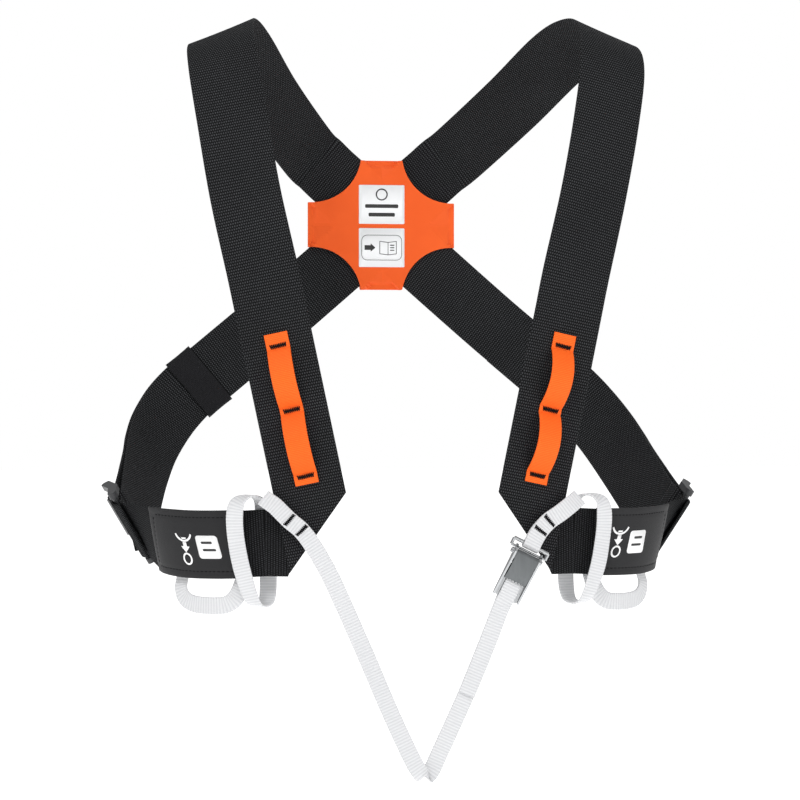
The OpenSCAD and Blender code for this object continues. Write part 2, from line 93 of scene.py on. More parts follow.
WORLD_LIGHT = 0.34
WORLD_FALL = 0.34
WORLD_SEEN = 1.0
world = bpy.data.worlds.new("studio")
scene.world = world
world.use_nodes = True
world_tree = world.node_tree
background = world_tree.nodes["Background"]
background.inputs["Color"].default_value = (1, 1, 1, 1)
ray = world_tree.nodes.new("ShaderNodeLightPath")
way_in = world_tree.nodes.new("ShaderNodeTexCoord")
height = world_tree.nodes.new("ShaderNodeSeparateXYZ")
world_tree.links.new(way_in.outputs["Generated"], height.inputs[0])
sky = world_tree.nodes.new("ShaderNodeMath")
sky.operation = "MULTIPLY_ADD"
sky.use_clamp = True
world_tree.links.new(height.outputs[2], sky.inputs[0])
sky.inputs[1].default_value = WORLD_FALL
sky.inputs[2].default_value = WORLD_LIGHT
strength = world_tree.nodes.new("ShaderNodeMapRange")
strength.inputs["To Max"].default_value = WORLD_SEEN
world_tree.links.new(sky.outputs[0], strength.inputs["To Min"])
world_tree.links.new(ray.outputs["Is Camera Ray"], strength.inputs["Value"])
world_tree.links.new(strength.outputs["Result"], background.inputs["Strength"])

AIM = np.array([0, 0, -0.25])


def soft_light(name, place, size, watts):
    """A square soft light that faces the middle of the vest."""
    data = bpy.data.lights.new(name, "AREA")
    data.size = size
    data.energy = watts
    lamp = bpy.data.objects.new(name, data)
    lamp.location = place
    lamp.rotation_euler = Vector(AIM - np.array(place)).to_track_quat("-Z", "Y").to_euler()
    scene.collection.objects.link(lamp)


soft_light("key", (-0.7, -1.2, 1.3), 0.9, 18)
soft_light("fill", (1.4, -1.5, 0.2), 1.2, 6.5)
soft_light("back", (0.4, 1.6, 1.2), 1.2, 10)
print("world", WORLD_LIGHT, "as light,", WORLD_SEEN, "as seen; 3 soft lights")

# %% [markdown]
# ## Finishes: how a node tree is written
# Each finish is a small node tree. Two helpers keep the trees readable: one adds a Math node and
# takes numbers or sockets alike, the other starts a material and sets the plain numbers on the
# shader's own sockets.


# %% Helpers for finishes
def wire(tree, value, socket):
    """Puts a number into a socket, or links another socket to it."""
    if isinstance(value, (int, float)):
        socket.default_value = value
    else:
        tree.links.new(value, socket)


def calc(tree, operation, *values):
    """A Math node on numbers or sockets."""
    node = tree.nodes.new("ShaderNodeMath")
    node.operation = operation
    for value, socket in zip(values, node.inputs):
        wire(tree, value, socket)
    return node.outputs[0]


def start_finish(name, rough, specular=0.5, metallic=0.0, sheen=0.0):
    """A new material with its plain numbers set, and its tree and shader."""
    finish = bpy.data.materials.new(name)
    finish.use_nodes = True
    shader = finish.node_tree.nodes["Principled BSDF"]
    shader.inputs["Roughness"].default_value = rough
    shader.inputs["Specular IOR Level"].default_value = specular
    shader.inputs["Metallic"].default_value = metallic
    shader.inputs["Sheen Weight"].default_value = sheen
    shader.inputs["Sheen Roughness"].default_value = 0.5
    return finish, finish.node_tree, shader


def speckle(tree, scale, detail=2.0, stretch=(1, 1, 1)):
    """Noise over the piece's own space, from about 0.3 to 0.7."""
    place = tree.nodes.new("ShaderNodeTexCoord")
    mapping = tree.nodes.new("ShaderNodeMapping")
    mapping.inputs["Scale"].default_value = stretch
    noise = tree.nodes.new("ShaderNodeTexNoise")
    noise.inputs["Scale"].default_value = scale
    noise.inputs["Detail"].default_value = detail
    tree.links.new(place.outputs["Object"], mapping.inputs["Vector"])
    tree.links.new(mapping.outputs["Vector"], noise.inputs["Vector"])
    return noise.outputs["Fac"]


def blend_colours(tree, amount, low, high, shader):
    """Two colours mixed by an amount, into the shader's base colour."""
    ramp = tree.nodes.new("ShaderNodeMix")
    ramp.data_type = "RGBA"
    ramp.clamp_factor = True
    ramp.inputs[6].default_value = (*low, 1)
    ramp.inputs[7].default_value = (*high, 1)
    wire(tree, amount, ramp.inputs[0])
    tree.links.new(ramp.outputs[2], shader.inputs["Base Color"])


def raise_grain(tree, height, depth, shader, strength=1.0):
    """Bump from a height between 0 and 1, this many metres deep."""
    bump = tree.nodes.new("ShaderNodeBump")
    bump.inputs["Strength"].default_value = strength
    bump.inputs["Distance"].default_value = depth
    wire(tree, height, bump.inputs["Height"])
    tree.links.new(bump.outputs["Normal"], shader.inputs["Normal"])


print("finish helpers ready")

# %% [markdown]
# ## Woven tape as a finish
# Webbing shows ribs across its width, and in each rib the yarns catch the light as short bright
# dashes, staggered from rib to rib like bricks. Here those dashes are painted highlights on the
# rib crests, and the grooves between ribs get painted shade. A picture of the weave would blur
# and repeat. A pattern calculated from the distance along and across the tape stays sharp, and
# each tape carries those two distances in a UV map called weave, in metres.


# %% Woven finishes
def woven(name, groove_shade, crest_highlight, pitch, yarn, stagger, rough, sheen, specular, depth, glint_speckle=0.3):
    """Tape with ribs this far apart and yarns this wide across them, all in metres. Its grooves
    get painted shade, and its crests get painted highlights with painted glints.
    """
    finish, tree, shader = start_finish(name, rough, specular, 0, sheen)
    place = tree.nodes.new("ShaderNodeUVMap")
    place.uv_map = "weave"
    split = tree.nodes.new("ShaderNodeSeparateXYZ")
    tree.links.new(place.outputs["UV"], split.inputs[0])
    row = calc(tree, "DIVIDE", split.outputs[1], pitch)
    rib = calc(tree, "COSINE", calc(tree, "MULTIPLY", row, 2 * math.pi))
    rib = calc(tree, "MULTIPLY_ADD", rib, 0.5, 0.5)
    odd = calc(tree, "MODULO", calc(tree, "FLOOR", calc(tree, "ADD", row, 100.5)), 2)
    across = calc(tree, "DIVIDE", split.outputs[0], yarn)
    across = calc(tree, "MULTIPLY_ADD", odd, 0.5, across)
    dash = calc(tree, "COSINE", calc(tree, "MULTIPLY", across, 2 * math.pi))
    dash = calc(tree, "MULTIPLY_ADD", dash, 0.5 * stagger, 1 - 0.5 * stagger)
    height = calc(tree, "MULTIPLY", calc(tree, "POWER", rib, 0.8), dash)
    grain = speckle(tree, 900, 1)
    cloud = speckle(tree, 18, 2)
    # The tone mixes painted light with random tone: rib height gives painted shade in the grooves
    # and painted highlights on the crests, the fine speckle gives painted glints, and the soft
    # cloud varies the tone at random.
    tone = calc(tree, "MULTIPLY", height, calc(tree, "MULTIPLY_ADD", grain, 2 * glint_speckle, 1 - glint_speckle))
    tone = calc(tree, "MULTIPLY", tone, calc(tree, "MULTIPLY_ADD", cloud, 0.5, 0.75))
    blend_colours(tree, tone, groove_shade, crest_highlight, shader)
    raise_grain(tree, calc(tree, "MULTIPLY_ADD", grain, 0.15, height), depth, shader, 0.8)
    return finish


RIB_BLACK = 1.8
RIB_PANEL = 1.7
RIB_WHITE = 1.85
RIB_ORANGE = 1.1
# For each tape the first colour is the painted shade in its grooves and the second is the painted
# highlight on its crests.
FINISH = {
    "black_webbing": woven("black_webbing", (0.002, 0.002, 0.0023), (0.062, 0.064, 0.068),
                           RIB_BLACK * MM, 1.5 * MM, 1.0, 0.8, 0.0, 0.08, 0.0003, 0.4),
    "panel_webbing": woven("panel_webbing", (0.002, 0.002, 0.0022), (0.045, 0.047, 0.05),
                           RIB_PANEL * MM, 1.2 * MM, 1.0, 0.8, 0.0, 0.08, 0.0003, 0.4),
    "white_webbing": woven("white_webbing", (0.58, 0.585, 0.6), (0.7, 0.705, 0.715),
                           RIB_WHITE * MM, 0.9 * MM, 0.2, 0.7, 0.0, 0.1, 0.00008, 0.1),
    "orange_webbing": woven("orange_webbing", (0.84, 0.1, 0.008), (1.0, 0.17, 0.02),
                            RIB_ORANGE * MM, 0.8 * MM, 0.4, 0.6, 0.0, 0.15, 0.00012, 0.2),
    "black_elastic": woven("black_elastic", (0.0035, 0.0035, 0.004), (0.022, 0.022, 0.025),
                           0.9 * MM, 0.8 * MM, 0.6, 0.85, 0.05, 0.15, 0.0002, 0.4),
}
print("woven finishes:", sorted(FINISH))

# %% [markdown]
# ## Coated fabric, thread, print, plastic and metal
# The back plate and the side panels' covers are coated fabric: nearly smooth, with the faint
# cloth grain showing through the coat, so the bump is shallow and the gloss is soft. Thread is
# dark and matt. Moulded nylon has a very fine grain. The buckle's steel is brushed along one
# direction, made by stretching the noise.


# %% Coated, moulded and metal finishes
def coated(name, low, high, rough, specular, grain_depth):
    """Fabric with a smooth coat: two crossed shallow waves and soft blotches."""
    finish, tree, shader = start_finish(name, rough, specular, 0, 0.05)
    place = tree.nodes.new("ShaderNodeUVMap")
    place.uv_map = "weave"
    split = tree.nodes.new("ShaderNodeSeparateXYZ")
    tree.links.new(place.outputs["UV"], split.inputs[0])
    yarn = 0.00055
    waves = [calc(tree, "SINE", calc(tree, "MULTIPLY", split.outputs[k], 2 * math.pi / yarn))
             for k in (0, 1)]
    grain = calc(tree, "MULTIPLY_ADD", calc(tree, "MULTIPLY", *waves), 0.5, 0.5)
    cloud = speckle(tree, 35, 3)
    blend_colours(tree, calc(tree, "MULTIPLY_ADD", grain, 0.15, cloud), low, high, shader)
    raise_grain(tree, calc(tree, "ADD", grain, cloud), grain_depth, shader, 0.5)
    return finish


def moulded(name, low, high, rough, specular, scale, depth):
    """Plastic, thread or print: fine grain and a slight change of tone."""
    finish, tree, shader = start_finish(name, rough, specular)
    blend_colours(tree, speckle(tree, 60, 3), low, high, shader)
    raise_grain(tree, speckle(tree, scale, 2), depth, shader, 0.5)
    return finish


def brushed(name, low, high, rough, stretch):
    """Metal with fine lines along one direction."""
    finish, tree, shader = start_finish(name, rough, 0.5, 1.0)
    lines = speckle(tree, 500, 3, stretch)
    blend_colours(tree, lines, low, high, shader)
    wire(tree, calc(tree, "MULTIPLY_ADD", lines, 0.25, rough - 0.12), shader.inputs["Roughness"])
    raise_grain(tree, lines, 0.000008, shader, 0.3)
    return finish


FINISH.update({
    "orange_coated_fabric": coated("orange_coated_fabric", (0.78, 0.088, 0.01),
                                   (0.9, 0.125, 0.018), 0.55, 0.2, 0.00005),
    "grey_coated_fabric": coated("grey_coated_fabric", (0.013, 0.013, 0.014),
                                 (0.021, 0.021, 0.0225), 0.6, 0.2, 0.00006),
    "white_patch": coated("white_patch", (0.86, 0.87, 0.88), (0.93, 0.94, 0.95), 0.6, 0.2,
                          0.00004),
    "white_print": moulded("white_print", (0.9, 0.9, 0.9), (0.95, 0.95, 0.95),
                           0.6, 0.3, 400, 0.00002),
    "grey_print": moulded("grey_print", (0.03, 0.03, 0.03), (0.05, 0.05, 0.05),
                          0.6, 0.3, 400, 0.00002),
    "black_thread": moulded("black_thread", (0.003, 0.003, 0.0035), (0.009, 0.009, 0.01),
                            0.8, 0.1, 2500, 0.00005),
    "black_nylon": moulded("black_nylon", (0.016, 0.017, 0.019), (0.026, 0.027, 0.03),
                           0.42, 0.5, 1800, 0.00003),
    "steel": brushed("steel", (0.34, 0.35, 0.36), (0.56, 0.57, 0.58), 0.22, (1, 1, 0.06)),
    "grey_steel": brushed("grey_steel", (0.1, 0.107, 0.11), (0.19, 0.2, 0.205), 0.32,
                          (1, 1, 0.06)),
})
print("all finishes:", len(FINISH))

# %% [markdown]
# ## A tape as a mesh
# A strap could be a curve with a bevel, but a curve twists where it likes. Here each station
# holds a centre and a width direction, so the maker decides how the tape lies at every point.
# The stations are joined by a smooth curve, then measured by length. That gives one function
# from (along, across, out) to a place in space, which serves the tape, its stitches and its
# prints alike.


# %% Stations and strips
def unit(v):
    v = np.asarray(v, float)
    return v / np.linalg.norm(v, axis=-1, keepdims=True)


def without(v, n):
    """v without its part along the unit vector n."""
    return v - np.sum(v * n, axis=-1, keepdims=True) * n


def smooth(rows, steps=16, closed=False):
    """A smooth curve through stations, with this many steps between neighbours."""
    p = np.asarray(rows, float)
    n = len(p)
    out = []
    for i in range(n if closed else n - 1):
        if closed:
            a, b, c, d = (p[(i + k) % n] for k in (-1, 0, 1, 2))
        else:
            a, b, c, d = p[max(i - 1, 0)], p[i], p[i + 1], p[min(i + 2, n - 1)]
        for k in range(steps):
            u = k / steps
            out.append(0.5 * (2 * b + u * (c - a) + u * u * (2 * a - 5 * b + 4 * c - d)
                              + u ** 3 * (3 * b - a - 3 * c + d)))
    if not closed:
        out.append(p[-1])
    return np.array(out)


class Strip:
    """Stations measured by length. at(s, a, f) is the place s along, a across and f out."""

    def __init__(self, rows, closed=False):
        rows = np.asarray(rows, float)
        self.closed = closed
        reach = 3
        if closed:
            rows = np.vstack([rows[-reach:], rows, rows[:reach + 1]])
        c, w = rows[:, :3], rows[:, 3:]
        h = unit(np.gradient(c, axis=0))
        step = np.linalg.norm(np.diff(c, axis=0), axis=1)
        s = np.concatenate([[0], np.cumsum(step)])
        if closed:
            self.length = s[-reach - 1] - s[reach]
            s = s - s[reach]
        else:
            far = 60
            self.length = s[-1]
            c = np.vstack([c[0] - far * h[0], c, c[-1] + far * h[-1]])
            w, h = (np.vstack([x[0], x, x[-1]]) for x in (w, h))
            s = np.concatenate([[-far], s, [s[-1] + far]])
        self.s, self.c = s, c
        self.w = unit(without(w, h))
        self.f = np.cross(self.w, h)

    def at(self, s, a, f):
        s, a, f = np.broadcast_arrays(*(np.asarray(x, float) for x in (s, a, f)))
        c, w, n = (np.stack([np.interp(s, self.s, x[:, k]) for k in range(3)], -1)
                   for x in (self.c, self.w, self.f))
        return c + a[..., None] * unit(w) + f[..., None] * unit(n)

    def nearest(self, point):
        """The distance along the strip of its point nearest to this one."""
        return self.s[np.argmin(np.linalg.norm(self.c - np.asarray(point, float), axis=1))]


print("strips ready")

# %% [markdown]
# ## From points to a piece
# Every piece is made from arrays of points in millimetres. The same function mirrors it for the
# other side of the body, gives it its finish, and tells the frame which body it rides on. It also
# hides the CAD solids it stands for.


# %% Make a piece
PIECES = {}


def make(name, points, faces, finish, body, nodes=(), uv=None, mirror=False):
    """A mesh piece from points in millimetres, riding on a body of the frame."""
    points = np.asarray(points, float).reshape(-1, 3) * MM
    if mirror:
        points = points * [-1, 1, 1]
        faces = [tuple(reversed(face)) for face in faces]
        if uv is not None:
            uv = [list(reversed(corner)) for corner in uv]
    mesh = bpy.data.meshes.new(name)
    mesh.from_pydata(points.tolist(), [], faces)
    if uv is None:
        loops = np.empty(len(mesh.loops), int)
        mesh.loops.foreach_get("vertex_index", loops)
        flat = points[loops][:, [0, 2]]
    else:
        flat = np.concatenate([np.asarray(corner, float) for corner in uv]) * MM
    layer = mesh.uv_layers.new(name="weave")
    layer.data.foreach_set("uv", flat.astype(np.float32).ravel())
    mesh.polygons.foreach_set("use_smooth", [True] * len(mesh.polygons))
    mesh.materials.append(FINISH[finish])
    mesh.validate()
    piece = bpy.data.objects.new(name, mesh)
    scene.collection.objects.link(piece)
    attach(piece, body)
    if nodes:
        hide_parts(*nodes)
    PIECES[name] = piece
    return piece


def tape_section(width, thick, across):
    """The outline of a tape's cross-section, as (a, f) pairs: flat faces and round edges."""
    r = thick / 2
    flat = np.linspace(-(width / 2 - r), width / 2 - r, across)
    bend = np.radians([60, 20, -20, -60])
    right = [(width / 2 - r + r * math.cos(t), r * math.sin(t)) for t in bend]
    left = [(-(width / 2 - r) - r * math.cos(t), -r * math.sin(t)) for t in bend]
    return np.array([(a, r) for a in flat] + right + [(a, -r) for a in flat[::-1]] + left)


def tape(name, strip, width, thick, finish, body, nodes=(), rib=2.0, rise=0.12, across=8,
         lift=0.0, slant=(0, 0), slot=None, mirror=False, cup=0.0, relief=None, per_rib=4):
    """A ribbed tape along a strip. slant skews each end by this many millimetres at its edges."""
    section = tape_section(width, thick, across)
    m = len(section)
    end = strip.length
    ribs = max(3, round(end / rib))
    pitch = end / ribs if strip.closed else rib
    n = ribs * per_rib if strip.closed else max(4, round(end / rib * per_rib)) + 1
    s = np.linspace(0, end, n, endpoint=not strip.closed)
    a, f = section[:, 0], section[:, 1]
    fade = 27.0
    near, far = np.clip(1 - s / fade, 0, 1), np.clip(1 - (end - s) / fade, 0, 1)
    lean = (slant[0] * near + slant[1] * far)[:, None] * (2 * a / width)[None]
    along = s[:, None] + lean
    wave = 0.5 - 0.5 * np.cos(2 * math.pi * along / pitch)
    out = f[None] * (1 - wave * rise * 2 / thick) + lift - cup * (2 * a / width)[None] ** 2
    if relief is not None:
        out = out + np.where(f[None] > 0, relief(along, a[None] + 0 * along), 0)
    wide = a[None] * (1 - wave * 0.12 / width * (np.abs(a[None]) > width / 2 - thick))
    points = strip.at(along, wide, out)
    faces, uv = [], []
    last = n if strip.closed else n - 1
    for i in range(last):
        j = (i + 1) % n
        along_j = along[j] + (end if j < i else 0)
        for k in range(m):
            q = (k + 1) % m
            faces.append((i * m + k, i * m + q, j * m + q, j * m + k))
            uv.append([(a[k], along[i, k]), (a[q], along[i, q]),
                       (a[q], along_j[q]), (a[k], along_j[k])])
    if not strip.closed:
        first = list(range(m))
        faces.append(tuple(reversed(first)))
        uv.append([(a[k], along[0, k]) for k in reversed(first)])
        faces.append(tuple((n - 1) * m + k for k in first))
        uv.append([(a[k], along[-1, k]) for k in first])
    return make(name, points, faces, finish, body, nodes, uv, mirror)


print("tape maker ready")

# %% [markdown]
# ## Thread
# Stitches are real geometry, because a seam drawn only as colour vanishes in a close view. A
# thread is a thin tube through points. A bar tack is one thread that goes to and fro, and a
# seam is a row of short threads that dip into the cloth at both ends.


# %% Threads, tacks and seams
TACK_R, TACK_PROUD = 0.36, 0.15


def tubes(name, paths, radius, body, nodes=(), mirror=False, sides=6):
    """Thread along several rows of points, as one piece."""
    points, faces = [], []
    for path in paths:
        path = np.asarray(path, float)
        h = unit(np.gradient(path, axis=0))
        guide = np.array([0.31, 0.62, 0.72])
        a = unit(np.cross(h, guide))
        b = np.cross(h, a)
        base = len(points)
        turn = np.linspace(0, 2 * math.pi, sides, endpoint=False)
        for i, centre in enumerate(path):
            for t in turn:
                points.append(centre + radius * (math.cos(t) * a[i] + math.sin(t) * b[i]))
        for i in range(len(path) - 1):
            for k in range(sides):
                q = (k + 1) % sides
                faces.append((base + i * sides + k, base + i * sides + q,
                              base + (i + 1) * sides + q, base + (i + 1) * sides + k))
        faces.append(tuple(base + k for k in reversed(range(sides))))
        faces.append(tuple(base + (len(path) - 1) * sides + k for k in range(sides)))
    return make(name, points, faces, "black_thread", body, nodes, mirror=mirror)


def bar_tack(strip, s0, across, along, out, turns):
    """The path of one bar tack: a thread to and fro, this far across and along the tape."""
    path = []
    for k in range(turns + 1):
        way = 1 if k % 2 else -1
        a = -across / 2 + across * k / turns
        uneven = 0.12 * math.sin(9.1 * k)
        path += [strip.at(s0 + way * (along / 2 + uneven) * 0.55, a, out + 0.1),
                 strip.at(s0 + way * (along / 2 + uneven), a + 0.12, out)]
    return path


def seam(strip, line, out, stitch=1.7, gap=1.1, dip=0.3):
    """Short threads along a line of (s, a) points on a strip."""
    line = np.asarray(line, float)
    step = np.linalg.norm(np.diff(line, axis=0), axis=1)
    far = np.concatenate([[0], np.cumsum(step)])
    paths = []
    start = gap
    while start + stitch < far[-1]:
        t = np.linspace(start, start + stitch, 5)
        s, a = np.interp(t, far, line[:, 0]), np.interp(t, far, line[:, 1])
        rise = out - dip * np.abs(np.linspace(-1, 1, 5)) ** 3
        paths.append(strip.at(s, a, rise))
        start += stitch + gap
    return paths


print("thread makers ready")

# %% [markdown]
# ## Where the chest straps lie
# The chest straps are flat against the ribs, so they get a small frame of their own: across, up
# and out. It leans towards the middle and turns round the ribs. The loops, tacks and the panels'
# sewn ends use the same frame, so they stay flush with the strap.

# %% The chest strap's frame
CHEST_TURN, CHEST_LEAN = math.radians(10), math.radians(12)
CHEST_AT = np.array([-96.5, -108, -178])
ribs_way = np.array([math.cos(CHEST_TURN), -math.sin(CHEST_TURN), 0])
UP = np.array([0, 0, 1])
CHEST_ACROSS = math.cos(CHEST_LEAN) * ribs_way + math.sin(CHEST_LEAN) * UP
CHEST_UP = -math.sin(CHEST_LEAN) * ribs_way + math.cos(CHEST_LEAN) * UP
CHEST_OUT = np.array([-math.sin(CHEST_TURN), -math.cos(CHEST_TURN), 0])


def on_chest(a, u, o):
    return CHEST_AT + a * CHEST_ACROSS + u * CHEST_UP + o * CHEST_OUT


def chest_station(u, o=0.0):
    return [*on_chest(0, u, o), *CHEST_ACROSS]


TIP_DROP, TIP_SLANT = 152, 21
print("chest strap faces", np.round(CHEST_OUT, 3))

# %% [markdown]
# ## Where the ladder locks sit
# Each main strap ends in a ladder lock: it turns back round the lock's middle bar and lies along
# its own outside. The lock's frame is forward along the strap, wide along the bars, and out.

# %% The ladder lock's frame
LOCK_AT = np.array([176, -12, -322])
LOCK_FWD = unit([0.05, -0.95, -0.3])
LOCK_WIDE = unit(without(np.array([0.46, 0, 0.89]), LOCK_FWD))
LOCK_OUT = np.cross(LOCK_WIDE, LOCK_FWD)
FRONT_BAR = (12, 3.4)


def lock_station(f, o):
    return [*(LOCK_AT + f * LOCK_FWD + o * LOCK_OUT), *LOCK_WIDE]


print("lock faces", np.round(LOCK_OUT, 3))

# %% [markdown]
# ## The main straps
# Each strap is one length of webbing: from its slanted tip on the chest, over the shoulder,
# through the back plate, round the flank to the other side's lock and back on itself. One strap
# passes inside the other at the crossing. The right shoulder sits a little further out.

# %% Main straps
STRAP_W, STRAP_T = 45.0, 2.0
LAP = 1.2
TURN_R = 4.6
TAIL_GAP = 2.4
# The straps cross in this plane at the back
STRAPS_Y = 112
SHOULDER = np.array([
    [-110, -102, -115, 0.96, -0.2, 0.22],
    [-117.5, -93, -68, 0.95, -0.16, 0.27],
    [-123, -78, -28, 0.94, -0.1, 0.33],
    [-123, -52, -8, 0.93, -0.02, 0.37],
    [-116, -20, -5, 0.88, 0.05, 0.45],
    [-103, 14, -14, 0.82, 0.08, 0.56],
    [-82, 57, -38, 0.76, 0.06, 0.65],
    [-54, 101.5, -66.5, 0.71, 0.02, 0.7]])
# The strap lies flat before it enters the back plate
LANDING = np.array([
    [-44, 109.5, -75, 0.7, 0.01, 0.71],
    [-36.5, 111.8, -81.8, 0.7, 0, 0.715]])
FLANK = np.array([
    [75, 112, -184, 0.64, 0, 0.77],
    [103, 112, -207.5, 0.64, 0, 0.77],
    [131, 112, -231, 0.64, 0, 0.77],
    [141, 111.8, -239.5, 0.64, 0, 0.77],
    [152, 106, -252.5, 0.64, -0.1, 0.76],
    [162, 91, -269, 0.64, -0.2, 0.75],
    [167.5, 70, -283.5, 0.6, -0.22, 0.78],
    [171, 45, -297, 0.54, -0.22, 0.82]])


def lifted(rows, d):
    """Stations moved this far out of their own face."""
    rows = np.asarray(rows, float)
    c, w = rows[:, :3], rows[:, 3:]
    h = np.vstack([c[1] - c[0], c[2:] - c[:-2], c[-1] - c[-2]])
    h = unit(h)
    return np.hstack([c + d * np.cross(unit(without(w, h)), h), w])


def strap_rows(shift, sit):
    ease = np.sin(math.pi * (np.arange(8) + 0.5) / 8)[:, None] * np.array([*sit, 0, 0, 0])
    crossing = [[x, STRAPS_Y + shift, z, 0.7, 0, 0.715] for x, z in
                ((-24, -93), (0, -117), (24, -139.5))]
    landing = LANDING + [0, shift, 0, 0, 0, 0]
    front = smooth([chest_station(u) for u in (-127, -80, -40, -10, 15)]
                   + list(SHOULDER + ease) + list(landing) + crossing + list(FLANK)
                   + [lock_station(-20, 0), lock_station(-8, 0)])
    turn = [lock_station(TURN_R * math.cos(t), TURN_R * (1 + math.sin(t)))
            for t in np.radians(np.arange(-90, 91, 10))]
    back = smooth([lock_station(-8, 8.2), lock_station(-16, 5.2)]
                  + list(lifted(FLANK[2:], TAIL_GAP)[::-1])
                  + [[92, STRAPS_Y + TAIL_GAP, -198.3, 0.64, 0, 0.77]])
    return np.vstack([[chest_station(-TIP_DROP)], front, turn, back])


STRAPS = {"left": Strip(strap_rows(-LAP, (0, 0, 0))), "right": Strip(strap_rows(LAP, (-8, 0, 4)))}
for side, strip in STRAPS.items():
    tape(f"shoulder_webbing_{side}", strip, STRAP_W, STRAP_T, "black_webbing", "harness",
         [f"main_strap_{side}"], rib=RIB_BLACK, rise=0.14, across=14, slant=(TIP_SLANT, 0),
         cup=0.25, mirror=side == "right")
    print(side, "strap is", round(strip.length), "mm long")

# %% [markdown]
# ## Side panels
# A shorter webbing is looped round the lock's front bar and sewn to itself, and its other end
# is sewn behind the chest strap's tip. Its lower edge carries the gear loop.

# %% Side panels
PANEL_W = 42.0


def mirrored(v):
    return [-v[0], v[1], v[2]]


PANEL = [
    [171, -42, -330, 0.34, -0.12, 0.93],
    [161.5, -66, -333, 0.2, -0.02, 0.98],
    [146, -84.5, -334.5, 0.08, 0, 1],
    [129, -96, -334.5, 0.03, 0, 1],
    [112, -101.5, -334, 0, 0, 1],
    [*mirrored(on_chest(-33.5, -151.5, -2.4)), 0, 0, 1]]
panel_end = [*mirrored(on_chest(-11, -156.5, -2.4)), 0, 0, 1]
PANEL_STEPS = 16
LOOP_R = 3.4
PANEL_LOW = FRONT_BAR[1] - LOOP_R
panel_rows = smooth([lock_station(12.5, PANEL_LOW), lock_station(18, PANEL_LOW - 0.3)] + PANEL,
                    PANEL_STEPS)
loop_rows = ([lock_station(25, 1.6), lock_station(20, 3.4), lock_station(15.5, 5.9)]
             + [lock_station(FRONT_BAR[0] + LOOP_R * math.cos(t),
                             FRONT_BAR[1] + LOOP_R * math.sin(t))
                for t in np.radians(np.arange(90, 271, 15))])
panel_strip = Strip(np.vstack([loop_rows, panel_rows, [panel_end]]))
for side in ("right", "left"):
    tape(f"panel_webbing_{side}", panel_strip, PANEL_W, STRAP_T, "panel_webbing", "harness",
         [f"side_panel_{side}"], rib=RIB_PANEL, rise=0.12, across=12, slant=(0, 9),
         slot="black_webbing", mirror=side == "left")
print("side panel is", round(panel_strip.length), "mm long")

# %% [markdown]
# ## Covers on the side panels
# A coated fabric cover is sewn over the panel's outer half. The stitch rows pull it down near
# its edges, so it stands slightly proud between them. It is a sheet held flat by its seams.

# %% Panel covers
COVER_T, COVER_W = 0.8, 43.0
COVER_LIFT = (STRAP_T + COVER_T) / 2 + 0.2
# The stations of the panel between which the cover lies
COVER_FROM, COVER_TO = 2.75, 6
cover_strip = Strip(panel_rows[int(COVER_FROM * PANEL_STEPS):COVER_TO * PANEL_STEPS + 1])
SEAM_IN = 4.6
cover_edge = COVER_W / 2 - SEAM_IN


def cover_puff(s, a):
    dip = -0.28 * np.exp(-((np.abs(a) - cover_edge) / 0.9) ** 2)
    dip = dip - 0.22 * np.exp(-((s - 4) / 0.9) ** 2) * (np.abs(a) < cover_edge)
    return dip + 0.25 * np.cos(np.clip(a / cover_edge, -1, 1) * math.pi / 2)


cover_len = cover_strip.length
cover_face = COVER_LIFT + COVER_T / 2
for side in ("right", "left"):
    cover = tape(f"panel_cover_cloth_{side}", cover_strip, COVER_W, COVER_T,
                 "grey_coated_fabric", "harness", [f"panel_cover_{side}"], rib=1.6, rise=0,
                 across=36, lift=COVER_LIFT, relief=cover_puff, per_rib=2, mirror=side == "left")
    lines = [[(5, cover_edge), (cover_len - 1, cover_edge)],
             [(5, -cover_edge), (cover_len - 1, -cover_edge)],
             [(4, -cover_edge + 1), (4, cover_edge - 1)]]
    threads = [path for line in lines for path in seam(cover_strip, line, cover_face)]
    tubes(f"cover_seams_{side}", threads, 0.2, "harness", mirror=side == "left")
print("cover is", COVER_W, "by", round(cover_len, 1), "mm, with", len(threads), "stitches")

# %% [markdown]
# ## Printed marks
# The cover carries a small white pictogram: a loop, an arrow and a ring, then a leaning white
# field with plain bars instead of words. Each mark is a very thin film cut from flat outlines
# and laid on the curved cover, sliced finely enough to bend with it.


# %% Outlines for marks
def stroke(points, width, closed=False):
    """Quads along a line of flat points, with mitred corners."""
    p = np.asarray(points, float)
    n = len(p)
    if closed:
        before, after = np.roll(p, 1, 0), np.roll(p, -1, 0)
    else:
        before, after = np.vstack([p[:1], p[:-1]]), np.vstack([p[1:], p[-1:]])
    d0, d1 = p - before, after - p
    if not closed:
        d0[0], d1[-1] = d1[0], d0[-1]
    d0, d1 = unit(d0), unit(d1)
    normal = unit(d0 + d1) @ np.array([[0, 1], [-1, 0]])
    grow = 1 / np.maximum(0.4, np.sqrt((1 + np.sum(d0 * d1, 1)) / 2))
    side = normal * (grow * width / 2)[:, None]
    left, right = p + side, p - side
    return [[left[i], right[i], right[(i + 1) % n], left[(i + 1) % n]]
            for i in range(n if closed else n - 1)]


def ring_line(cx, cy, rx, ry, n=28):
    t = np.linspace(0, 2 * math.pi, n, endpoint=False)
    return np.stack([cx + rx * np.cos(t), cy + ry * np.sin(t)], 1)


def rounded(w, h, r, cx=0.0, cy=0.0, steps=6):
    """A rounded rectangle's outline, with this many points at each corner."""
    out = []
    for k, (x, y) in enumerate(((1, 1), (-1, 1), (-1, -1), (1, -1))):
        for t in np.radians(np.linspace(90 * k, 90 * k + 90, steps)):
            px, py = x * (w / 2 - r) + r * math.cos(t), y * (h / 2 - r) + r * math.sin(t)
            out.append((cx + px, cy + py))
    return out


